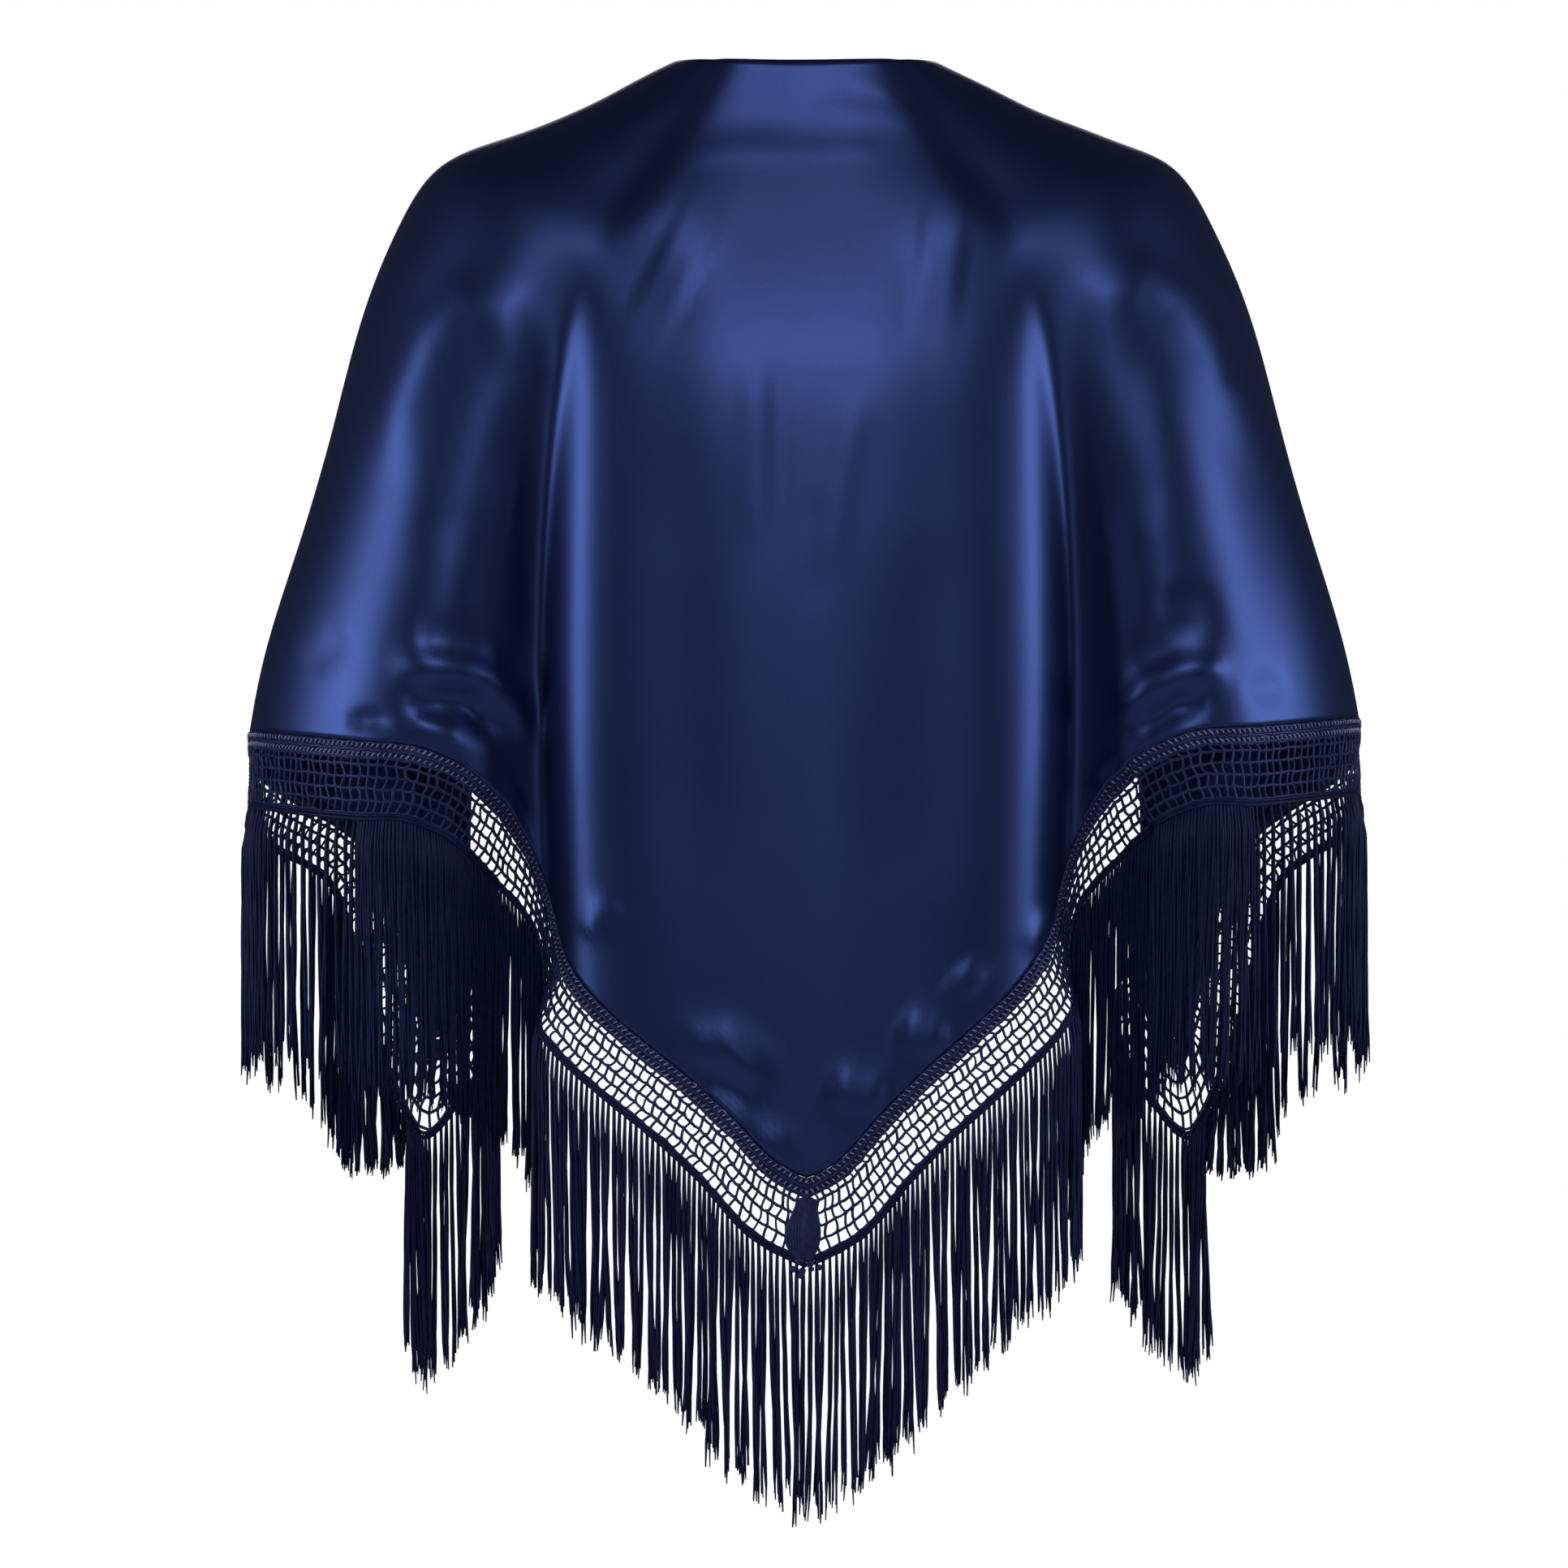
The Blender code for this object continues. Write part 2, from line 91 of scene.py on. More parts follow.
# Spline basis: values @ basis runs smoothly through the values at all the knots.
def basis(knots, at):
    knots, at = np.asarray(knots, float), np.asarray(at, float)
    count, step = len(knots), np.diff(knots)
    system, bend = np.eye(count), np.zeros((count, count))
    for i in range(1, count - 1):
        system[i, i - 1 : i + 2] = step[i - 1], 2 * (step[i - 1] + step[i]), step[i]
        bend[i, i - 1 : i + 2] = 6 / step[i - 1], -6 / step[i - 1] - 6 / step[i], 6 / step[i]
    second = np.linalg.solve(system, bend)
    i = np.clip(np.searchsorted(knots, at) - 1, 0, count - 2)
    low, high, width = at - knots[i], knots[i + 1] - at, step[i]
    rows = np.eye(count)
    start = (high / width)[:, None] * rows[i] + (low / width)[:, None] * rows[i + 1]
    curveLow = ((high**3 / width - high * width) / 6)[:, None] * second[i]
    curveHigh = ((low**3 / width - low * width) / 6)[:, None] * second[i + 1]
    return start + curveLow + curveHigh


# Curve through a table's rows that doesn't swing past them.
def steady(knots, values, at):
    knots, values, at = (np.asarray(x, float) for x in (knots, values, at))
    step = np.diff(knots)
    slope = np.diff(values) / step
    lean = np.zeros(len(knots))
    for i in range(1, len(knots) - 1):
        if slope[i - 1] * slope[i] > 0:
            near, far = 2 * step[i] + step[i - 1], step[i] + 2 * step[i - 1]
            lean[i] = (near + far) / (near / slope[i - 1] + far / slope[i])
    lean[0], lean[-1] = slope[0] / 2, slope[-1]
    i = np.clip(np.searchsorted(knots, at) - 1, 0, len(step) - 1)
    t = (at - knots[i]) / step[i]
    ends = (1 + 2 * t) * (1 - t) ** 2 * values[i] + t * t * (3 - 2 * t) * values[i + 1]
    return ends + step[i] * (t * (1 - t) ** 2 * lean[i] - t * t * (1 - t) * lean[i + 1])


# Points of every ring on every line across, on both sides.
def ringStations():
    table = np.array(ringRows) / 1000
    ring = {name: table[:, i] for i, name in enumerate(ringColumns)}
    x = {"back": 0 * ring["fall"], "out": ring["outX"], "edge": ring["edgeX"], "valley": ring["valleyX"]}
    y = {"back": ring["backY"], "edge": ring["edgeY"], "valley": ring["valleyY"], "column": ring["columnY"]}
    z = {"back": ring["backZ"], "out": ring["outZ"], "edge": ring["edgeZ"]}
    y["out"] = 0 * ring["fall"] + shape["outDepth"]
    x["column"] = (1 - shape["columnTurn"]) * ring["valleyX"]
    x["mid"], y["mid"] = x["column"] / 2, ring["midY"]
    armSpan = ring["outX"] - ring["valleyX"]
    x["inner"], y["inner"] = ring["valleyX"] + shape["inner"] * armSpan, ring["innerY"]
    x["arm"], y["arm"] = ring["valleyX"] + shape["arm"] * armSpan, ring["armY"]
    x["front"], y["front"] = shape["front"] * ring["outX"], ring["frontY"]
    x["lapel"] = ring["edgeX"] + shape["lapel"] * (x["front"] - ring["edgeX"])
    y["lapel"] = (ring["frontY"] + ring["edgeY"]) / 2 + shape["lapelPuff"]
    for name, share in shape["riseToArm"].items():
        z[name] = z["back"] + share * (z["out"] - z["back"])
    for name, share in shape["fallToEdge"].items():
        z[name] = z["out"] + share * (z["edge"] - z["out"])
    names = list(shape["across"])
    half = np.stack([np.stack([x[n], y[n], z[n]], axis=1) for n in names], axis=1)
    mirrored = half[:, :0:-1] * (-1, 1, 1)
    across = np.array(list(shape["across"].values()))
    return ring["fall"], np.concatenate([mirrored, half], axis=1), np.concatenate([-across[:0:-1], across])


falls, stations, stationAcross = ringStations()


# Points of the smooth cloth: across is -1 and 1 at the front edges and 0 at the back, fall is the way down.
def smoothSurface(across, fall):
    over = basis(stationAcross, across)
    down = basis(falls, fall)
    return np.einsum("pr,rsc,ps->pc", down, stations, over, optimize=True)


def outward(across, fall):
    small = 1e-3
    byAcross = smoothSurface(across + small, fall) - smoothSurface(across - small, fall)
    byFall = smoothSurface(across, fall + small) - smoothSurface(across, fall - small)
    normal = np.cross(byFall, byAcross)
    return normal / np.linalg.norm(normal, axis=1)[:, None]


# How far down each line the cloth reaches its fringed edge.
def reachTable():
    places, tries = np.linspace(0, 1, samples["places"]), np.linspace(falls[0], falls[-1], samples["tries"])
    hem = np.array(hemRows)
    height = steady(hem[:, 0], hem[:, 1], places)
    lifted = height + steady(hem[:, 0], hem[:, 2], places)
    down, over = basis(falls, tries), basis(stationAcross, places)
    z = np.einsum("pr,rs,as->ap", down, stations[:, :, 2], over, optimize=True)
    left = [np.interp(-low, -column, tries) for low, column in zip(height, z)]
    right = [np.interp(-low, -column, tries) for low, column in zip(lifted, z)]
    return np.concatenate([-places[:0:-1], places]), np.concatenate([left[:0:-1], right])


reachPlaces, reachFalls = reachTable()


def hemFall(across):
    return np.interp(across, reachPlaces, reachFalls)


# Creases of the satin. Each is a soft ridge, or a trough where height is negative, along a line on the cloth,
# given by x and z of its points in millimetres, then its width and height in millimetres.
backCreases = (
    # centre of the back
    ((-29, -104, -29, -160, -30, -219), 9.5, 0.9),
    ((30, -123, 19, -178, 7, -238), 9.5, 1),
    ((-16, -104, -16, -228), 6.8, -0.6),
    ((3, -182, 3, -256), 8.1, -0.6),
    ((-66, -150, -68, -260, -66, -420), 29.7, -1.6),
    ((68, -200, 67, -300, 66, -420), 29.7, -1.6),
    # shoulder blades
    ((-88, -48, -60, -62), 35.1, 1.2),
    ((60, -52, 92, -56), 35.1, 1.2),
    # neck
    ((-57, 47, -84, 38, -110, 25), 6.8, 0.6),
    ((-76, 10, -40, 14, 3, 12), 6.8, 0.4),
    ((21, 56, 38, 52, 54, 44), 5.4, 0.4),
    ((3, 38, 38, 36, 72, 32), 6.8, 0.4),
    ((-7, 11, 20, 14, 44, 14), 5.4, 0.3),
    ((-60, 28, -20, 30, 20, 26), 8.1, -0.3),
    # left arm
    ((-162, -140, -160, -112, -175, -84, -196, -76, -216, -92, -234, -128, -246, -180), 15, 2.6),
    ((-202, -96, -203, -150, -204, -230), 20, -2.0),
    ((-172, -160, -172, -280), 9, 1.8),
    # left cuff
    ((-238, -280, -219, -284, -200, -286, -185, -291, -172, -302, -164, -317, -163, -331), 10.5, 5.4),
    ((-229, -310, -210, -303, -191, -305, -183, -315, -179, -329), 9.5, -6.5),
    ((-229, -317, -216, -318, -205, -323, -197, -331), 6.5, 3),
    ((-222, -268, -205, -266, -190, -275), 12, -2.2),
    ((-262, -317, -248, -313, -238, -318), 5.5, -2.4),
    ((-290, -286, -262, -264), 10, -1),
    # right arm
    ((164, -98, 175, -74, 194, -61, 213, -71, 231, -96, 250, -134, 268, -180), 14, 2.4),
    ((192, -84, 188, -134, 192, -210), 18, -2.0),
    ((240, -62, 246, -96, 243, -126), 6, -1.2),
    # right cuff
    ((188, -318, 190, -305, 199, -294, 214, -287, 228, -286, 237, -298), 10, 5.2),
    ((214, -232, 219, -256, 206, -271, 190, -286), 12, -3),
    ((191, -326, 199, -313, 214, -305, 228, -310), 8, -6),
    ((252, -298, 276, -294), 10, -1.4),
    ((173, -334, 191, -337), 4.5, 2),
    ((173, -341, 185, -341), 4, -2),
    ((164, -345, 175, -352), 4, 1.8),
    # puckers over the heading
    ((-176, -362, -163, -358), 6, 1.8),
    ((-170, -378, -158, -372), 5, -1.8),
    ((-125, -440, -116, -424, -104, -420), 7, 2.4),
    ((-76, -506, -61, -498, -47, -497, -34, -509, -23, -523), 11, 4.4),
    ((-61, -522, -44, -522, -29, -532), 8, -3.4),
    ((-33, -551, -17, -554, -9, -557), 8, 3),
    ((11, -520, 28, -526, 47, -529), 11, 4.4),
    ((51, -488, 67, -495, 82, -492), 11, 4.4),
    ((84, -456, 98, -468), 9, 3.2),
    ((126, -446, 136, -428, 146, -426), 6, 1.8),
)
frontCreases = (
    ((-120, 0, -140, -120, -175, -260, -205, -380), 18.9, 2.4),
    ((-160, -60, -190, -160, -220, -300), 21.6, -3.2),
    ((-235, -120, -250, -200, -268, -300), 21.6, 2.8),
    ((-205, -90, -228, -140, -245, -210), 16.2, -2.8),
    ((-270, -318, -240, -345, -226, -372), 9.5, -2.4),
    ((-98, 30, -105, -20, -118, -70), 12.2, 1.6),
    ((118, 2, 138, -118, 172, -250, 203, -385), 18.9, 2.4),
    ((158, -70, 186, -165, 216, -305), 21.6, -3.2),
    ((238, -110, 252, -190, 270, -296), 21.6, 2.8),
    ((208, -96, 224, -150, 246, -220), 16.2, -2.8),
    ((268, -322, 242, -348, 228, -376), 9.5, -2.4),
    ((97, 32, 104, -18, 116, -66), 12.2, 1.6),
)


# Creases fade towards their ends. Far is a distance in metres that is longer than any on the cloth.
creaseFade = {"rate": 3.4, "ends": 0.12, "far": 9.0}


def creaseHeight(points, creases):
    flat = points[:, (0, 2)]
    total = np.zeros(len(points))
    for line, wide, high in creases:
        corners = np.array(line, float).reshape(-1, 2) / 1000
        lengths = np.linalg.norm(np.diff(corners, axis=0), axis=1)
        along = np.concatenate([[0], np.cumsum(lengths)])
        nearest = np.full(len(points), creaseFade["far"])
        where = np.zeros(len(points))
        for i, length in enumerate(lengths):
            run = (corners[i + 1] - corners[i]) / length
            t = np.clip((flat - corners[i]) @ run, 0, length)
            apart = np.linalg.norm(flat - corners[i] - t[:, None] * run, axis=1)
            closer = apart < nearest
            nearest[closer], where[closer] = apart[closer], (along[i] + t[closer]) / along[-1]
        fade = np.clip(np.minimum(where, 1 - where) * creaseFade["rate"] + creaseFade["ends"], 0, 1)
        fade = fade * fade * (3 - 2 * fade)
        total += high / 1000 * fade * np.exp(-((nearest / (wide / 1000)) ** 2))
    return total


# Slight waves over all of the cloth: their rates along x and z, their start, and their height in metres.
waves = ((41, 4, 0.4, 0.00022), (63, -5, 1.9, 0.00018), (97, 6, 0.2, 0.00012), (23, 11, 2.2, 0.00020))
waveRates = {"sideways": 1.3, "deep": 30}


def unevenness(points):
    x, y, z = points.T
    wide, deep = waveRates["sideways"], waveRates["deep"]
    return sum(high * np.sin(a * x * wide + b * z + deep * y + start) for a, b, start, high in waves)


# The back's creases give way to the front's where the cloth turns over the arms.
turnOver = {"start": 0.15, "width": 0.4}


def clothPoints(across, fall):
    across, fall = np.asarray(across, float), np.asarray(fall, float)
    base, normal = smoothSurface(across, fall), outward(across, fall)
    toBack = np.clip((turnOver["start"] - normal[:, 1]) / turnOver["width"], 0, 1)
    toFront = np.clip((normal[:, 1] + turnOver["start"]) / turnOver["width"], 0, 1)
    move = toBack * creaseHeight(base, backCreases) + toFront * creaseHeight(base, frontCreases)
    return base + (move + unevenness(base))[:, None] * normal


def hemPoints(across):
    return clothPoints(across, hemFall(across))


# A point of the trim: share 0 is on the cloth's edge, share 1 on the trim's lower edge.
def trimPoints(side, across, share):
    across = np.asarray(across, float)
    share = np.broadcast_to(np.asarray(share, float), across.shape)
    table = np.array(trimRows)
    move = np.stack([steady(table[:, 0], table[:, i], across) for i in (1, 2, 3)], axis=1)
    edge = trimEdge[side](across)
    return edge + share[:, None] * move * (side, 1, -1)


def edgeLookup(side):
    places = np.linspace(0, 1, samples["edge"])
    points = hemPoints(side * places)
    return lambda across: np.stack([np.interp(across, places, points[:, i]) for i in range(3)], axis=1)


trimEdge = {side: edgeLookup(side) for side in (-1, 1)}
print("cloth form worked out")


def nodeGroup(name, inputs, outputs):
    group = bpy.data.node_groups.new(name, "ShaderNodeTree")
    for kind, label in inputs:
        group.interface.new_socket(name=label, in_out="INPUT", socket_type=kind)
    for kind, label in outputs:
        group.interface.new_socket(name=label, in_out="OUTPUT", socket_type=kind)
    return group, group.nodes.new("NodeGroupInput"), group.nodes.new("NodeGroupOutput")


weaveValues = {"detail": 3, "roughness": 0.65, "broadScale": 16, "broadDetail": 2, "broadShare": 0.4,
               "height": 0.0004}


# Mottling and fine weave shared by the cloth and the cords: a tone from 0 to 1 and a normal.
def weaveGroup():
    group, entry, leave = nodeGroup(
        "fineWeave",
        [("NodeSocketFloat", "Grain"), ("NodeSocketFloat", "Depth")],
        [("NodeSocketFloat", "Tone"), ("NodeSocketVector", "Normal")],
    )
    values = weaveValues
    nodes, links = group.nodes, group.links
    place = nodes.new("ShaderNodeTexCoord")
    fine = nodes.new("ShaderNodeTexNoise")
    fine.inputs["Detail"].default_value = values["detail"]
    fine.inputs["Roughness"].default_value = values["roughness"]
    links.new(place.outputs["Object"], fine.inputs["Vector"])
    links.new(entry.outputs["Grain"], fine.inputs["Scale"])
    broad = nodes.new("ShaderNodeTexNoise")
    broad.inputs["Scale"].default_value = values["broadScale"]
    broad.inputs["Detail"].default_value = values["broadDetail"]
    links.new(place.outputs["Object"], broad.inputs["Vector"])
    mix = nodes.new("ShaderNodeMix")
    mix.inputs["Factor"].default_value = values["broadShare"]
    links.new(fine.outputs["Fac"], mix.inputs["A"])
    links.new(broad.outputs["Fac"], mix.inputs["B"])
    bump = nodes.new("ShaderNodeBump")
    bump.inputs["Distance"].default_value = values["height"]
    links.new(entry.outputs["Depth"], bump.inputs["Strength"])
    links.new(fine.outputs["Fac"], bump.inputs["Height"])
    links.new(mix.outputs["Result"], leave.inputs["Tone"])
    links.new(bump.outputs["Normal"], leave.inputs["Normal"])
    return group


fineWeave = weaveGroup()
rampPositions = (0.30, 0.70)


def clothMaterial(name, values):
    made = bpy.data.materials.new(name)
    made.use_nodes = True
    nodes, links = made.node_tree.nodes, made.node_tree.links
    shader = nodes["Principled BSDF"]
    for socket, value in values["shader"].items():
        shader.inputs[socket].default_value = value
    weave = nodes.new("ShaderNodeGroup")
    weave.node_tree = fineWeave
    weave.inputs["Grain"].default_value = values["grain"]
    weave.inputs["Depth"].default_value = values["depth"]
    ramp = nodes.new("ShaderNodeValToRGB")
    for element, name, position in zip(ramp.color_ramp.elements, ("low", "high"), rampPositions):
        element.position = position
        element.color = (*values[name], 1)
    links.new(weave.outputs["Tone"], ramp.inputs["Fac"])
    links.new(ramp.outputs["Color"], shader.inputs["Base Color"])
    links.new(weave.outputs["Normal"], shader.inputs["Normal"])
    return made


satin = clothMaterial("navySatin", {
    "low": (0.030, 0.052, 0.180), "high": (0.038, 0.064, 0.220), "grain": 1100, "depth": 0.10,
    "shader": {"Roughness": 0.42, "Metallic": 0.9, "Specular IOR Level": 0.2},
})
cord = clothMaterial("navyCord", {
    "low": (0.012, 0.018, 0.080), "high": (0.036, 0.048, 0.180), "grain": 420, "depth": 0.5,
    "shader": {"Roughness": 0.45, "Metallic": 0.4, "Specular IOR Level": 0.3},
})
# The whip stitches get a paler copy of the cord's navy: its tone runs from lighter navy to pale lilac, a
# painted highlight standing in for the sheen on the stitches.
highlightStitching = clothMaterial("paintedHighlightStitching", {
    "low": (0.090, 0.110, 0.300), "high": (0.340, 0.370, 0.640), "grain": 500, "depth": 0.4,
    "shader": {"Roughness": 0.45, "Metallic": 0.4, "Specular IOR Level": 0.3},
})
thread = clothMaterial("navyThread", {
    "low": (0.004, 0.007, 0.044), "high": (0.012, 0.018, 0.090), "grain": 260, "depth": 0.4,
    "shader": {"Roughness": 0.5, "Metallic": 0.3, "Specular IOR Level": 0.2},
})
print("materials made")


def addPiece(name, mesh, finish, replaced):
    mesh.materials.clear()
    mesh.materials.append(finish)
    mesh.shade_smooth()
    made = bpy.data.objects.new(name, mesh)
    bpy.context.scene.collection.objects.link(made)
    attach(made, "root")
    if replaced:
        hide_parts(*replaced)
    return made


def sheetMesh(name, points, columns, rows):
    bm = bmesh.new()
    bmesh.ops.create_grid(bm, x_segments=columns, y_segments=rows, size=1)
    bm.verts.ensure_lookup_table()
    for vertex, point in zip(bm.verts, points):
        vertex.co = point
    mesh = bpy.data.meshes.new(name)
    bm.to_mesh(mesh)
    bm.free()
    return mesh


# Round cords along the given lines, each with a radius at every point.
def cordMesh(name, lines, radii):
    data = bpy.data.curves.new(name, "CURVE")
    data.dimensions = "3D"
    data.bevel_depth = 1
    data.bevel_resolution = 1
    data.use_fill_caps = True
    for line, radius in zip(lines, radii):
        spline = data.splines.new("POLY")
        spline.points.add(len(line) - 1)
        spline.points.foreach_set("co", np.column_stack([line, np.ones(len(line))]).ravel())
        spline.points.foreach_set("radius", np.broadcast_to(np.asarray(radius, float), len(line)).copy())
    curve = bpy.data.objects.new(name, data)
    bpy.context.scene.collection.objects.link(curve)
    shown = curve.evaluated_get(bpy.context.evaluated_depsgraph_get())
    mesh = bpy.data.meshes.new_from_object(shown)
    bpy.data.objects.remove(curve)
    bpy.data.curves.remove(data)
    mesh.name = name
    return mesh


def withKnots(mesh, knots):
    bm = bmesh.new()
    bm.from_mesh(mesh)
    for place, first, second, third in knots:
        turn = Matrix((first, second, third)).transposed().to_4x4()
        bmesh.ops.create_icosphere(bm, subdivisions=1, radius=1, matrix=Matrix.Translation(place) @ turn)
    bm.to_mesh(mesh)
    bm.free()
    return mesh


# Satin triangle. Its lines are spaced partly evenly along its fringed edge, by the share alongEdge.
clothValues = {"columns": 130, "rows": 140, "alongEdge": 0.55, "thick": 0.0011, "flat": (1.40, 0.70),
               "flatArea": 0.49}


def evenAcross(count):
    fine = np.linspace(0, 1, samples["cloth"])
    line = hemPoints(fine)
    along = np.concatenate([[0], np.cumsum(np.linalg.norm(np.diff(line, axis=0), axis=1))])
    share = clothValues["alongEdge"]
    mixed = share * along / along[-1] + (1 - share) * fine
    return np.interp(np.linspace(0, 1, count + 1), mixed, fine)


def addCloth():
    half = evenAcross(clothValues["columns"])
    across = np.concatenate([-half[:0:-1], half])
    reach = hemFall(across)
    rows = clothValues["rows"]
    points = [clothPoints(across, reach * row / rows) for row in range(rows + 1)]
    mesh = sheetMesh("satinCloth", np.concatenate(points), len(across) - 1, rows)
    made = addPiece("satinCloth", mesh, satin, ["satin_cloth"])
    wall = made.modifiers.new("wall", "SOLIDIFY")
    wall.thickness = clothValues["thick"]
    wall.offset = 0
    return made


cloth = addCloth()
print("cloth made")


# The trim's own directions at places across it: along its edge, down it and out from it.
def trimFrame(side, across, share):
    small, below = 2e-3, 0.05
    here = trimPoints(side, across, share)
    ahead = trimPoints(side, np.clip(across + small, 0, 1), share)
    behind = trimPoints(side, np.clip(across - small, 0, 1), share)
    along = ahead - behind
    along /= np.linalg.norm(along, axis=1)[:, None]
    down = trimPoints(side, across, np.asarray(share) + below) - here
    down /= np.linalg.norm(down, axis=1)[:, None]
    out = np.cross(down, along) * side
    out /= np.linalg.norm(out, axis=1)[:, None]
    return here, along, down, out


def evenPlaces(side, share, spacing, start=0.0, end=1.0):
    fine = np.linspace(start, end, samples["line"])
    line = trimPoints(side, fine, share)
    along = np.concatenate([[0], np.cumsum(np.linalg.norm(np.diff(line, axis=0), axis=1))])
    count = max(2, round(along[-1] / spacing))
    return np.interp(np.linspace(0, along[-1], count + 1), along, fine)


# Heading: a flat braid with a row of whip stitches along each of its edges.
headingValues = {"seed": 11, "shares": (0.004, 0.195), "middle": 0.1, "thick": 0.0014, "rows": 3, "step": 0.004,
                 "cords": ((0.015, 0.0008), (0.10, 0.0010), (0.185, 0.0009)), "uneven": (0.8, 1.2),
                 "bump": 0.0003, "bumpTurn": 2.1, "lift": 0.0013, "cordLift": 0.4}
stitchValues = {"shares": (0.04, 0.16), "pitch": 0.0034, "radius": 0.0006, "reach": (0.0014, 0.0019),
                "slant": (0.4, 0.9), "uneven": (0.7, 1.1), "shoulder": 0.3, "taper": 0.6}


def joinMeshes(mesh, added):
    bm = bmesh.new()
    bm.from_mesh(mesh)
    bm.from_mesh(added)
    bm.to_mesh(mesh)
    bm.free()
    bpy.data.meshes.remove(added)


def headingBand(side, places):
    values = headingValues
    low, high = values["shares"]
    count = values["rows"]
    rows = [trimPoints(side, places, low + (high - low) * row / count) for row in range(count + 1)]
    band = sheetMesh("band", np.concatenate(rows), len(places) - 1, count)
    bm = bmesh.new()
    bm.from_mesh(band)
    bmesh.ops.solidify(bm, geom=bm.faces[:], thickness=-side * values["thick"])
    bm.to_mesh(band)
    bm.free()
    return band


def addBraid(side, sideName, draws):
    values = headingValues
    places = evenPlaces(side, values["middle"], values["step"])
    band = headingBand(side, places)
    lines, radii = [], []
    for share, radius in values["cords"]:
        here, _, down, out = trimFrame(side, places, share)
        bumps = values["bump"] * np.sin(np.arange(len(places)) * values["bumpTurn"])[:, None]
        lines.append(here + out * (values["lift"] * values["cordLift"] + bumps) + down * bumps)
        radii.append(radius * draws.uniform(*values["uneven"], len(places)))
    mesh = cordMesh("braid", lines, radii)
    joinMeshes(mesh, band)
    return addPiece(f"heading_{sideName}Braid", mesh, cord, [f"heading_{sideName}"])


def addStitches(side, sideName, draws):
    values = stitchValues
    lines, radii = [], []
    for share in values["shares"]:
        spots = evenPlaces(side, share, values["pitch"])
        here, along, down, out = trimFrame(side, spots, share)
        for i in range(len(spots)):
            reach = draws.uniform(*values["reach"])
            run = down[i] * reach + along[i] * reach * draws.uniform(*values["slant"])
            raised = here[i] + out[i] * headingValues["lift"]
            shoulder = run * values["shoulder"]
            lines.append(np.array([here[i] - run, raised - shoulder, raised + shoulder, here[i] + run]))
            thick = values["radius"] * draws.uniform(*values["uneven"])
            thin = thick * values["taper"]
            radii.append((thin, thick, thick, thin))
    mesh = cordMesh("stitches", lines, radii)
    return addPiece(f"heading_{sideName}Stitches", mesh, highlightStitching, [])


def addHeading(side, sideName):
    draws = np.random.default_rng(headingValues["seed"] + side)
    return addBraid(side, sideName, draws), addStitches(side, sideName, draws)


# Net: cords along the edge, cords down across them, and a knot at each crossing.
netValues = {"seed": 23, "pitch": 0.0056, "middle": 0.55, "shares": (0.20, 0.285, 0.435, 0.585, 0.735, 0.89),
             "lean": 0.0014, "leanUneven": (0.6, 1.2), "jitter": 0.0005, "jitterDown": 0.5, "jitterOut": 0.4,
             "alongRadius": 0.00095, "alongUneven": (0.85, 1.15), "sag": (0.0001, 0.0006),
             "downRadius": 0.00078, "downUneven": (0.85, 1.2), "bow": 0.0005, "bulge": 0.0004,
             "inner": (0.33, 0.67), "knot": (0.0017, 0.0013, 0.0011), "knotUneven": (0.8, 1.2)}


# Places of the crossings in each row, every other row leaning along the edge.
def netCrossings(frames, count, draws):
    values = netValues
    crossings = []
    for row, (here, along, down, out) in enumerate(frames):
        shift = draws.normal(0, values["jitter"], (count, 3))
        lean = values["lean"] * (row % 2) * draws.uniform(*values["leanUneven"], (count, 1))
        moved = here + along * (shift[:, :1] + lean) + down * shift[:, 1:2] * values["jitterDown"]
        crossings.append(moved + out * shift[:, 2:] * values["jitterOut"])
    return crossings


def addNet(side, sideName):
    draws = np.random.default_rng(netValues["seed"] + side)
    values = netValues
    places = evenPlaces(side, values["middle"], values["pitch"])
    count, shares = len(places), values["shares"]
    frames = [trimFrame(side, places, share) for share in shares]
    crossings = netCrossings(frames, count, draws)
    lines, radii, knots = [], [], []
    wide, tall, deep = values["knot"]
    for steps, (_, along, down, out) in zip(crossings, frames):
        middle = (steps[1:] + steps[:-1]) / 2 + down[1:] * draws.uniform(*values["sag"], (count - 1, 1))
        line = np.empty((2 * count - 1, 3))
        line[::2] = steps
        line[1::2] = middle
        lines.append(line)
        radii.append(values["alongRadius"] * draws.uniform(*values["alongUneven"], len(line)))
        for i in range(count):
            size = draws.uniform(*values["knotUneven"])
            knots.append((steps[i], along[i] * wide * size, down[i] * tall * size, out[i] * deep * size))
    for row in range(len(shares) - 1):
        _, along, _, out = frames[row]
        for i in range(count):
            top, foot = crossings[row][i], crossings[row + 1][i]
            bow = along[i] * draws.normal(0, values["bow"]) + out[i] * draws.uniform(0, values["bulge"])
            inner = [top + (foot - top) * t + bow * math.sin(math.pi * t) for t in values["inner"]]
            lines.append(np.array([top, *inner, foot]))
            radii.append(values["downRadius"] * draws.uniform(*values["downUneven"]))
    mesh = withKnots(cordMesh("net", lines, radii), knots)
    replaced = [f"net_{part}_{sideName}" for part in ("back", "sleeve", "front")]
    return addPiece(f"net_{sideName}Cords", mesh, cord, replaced)


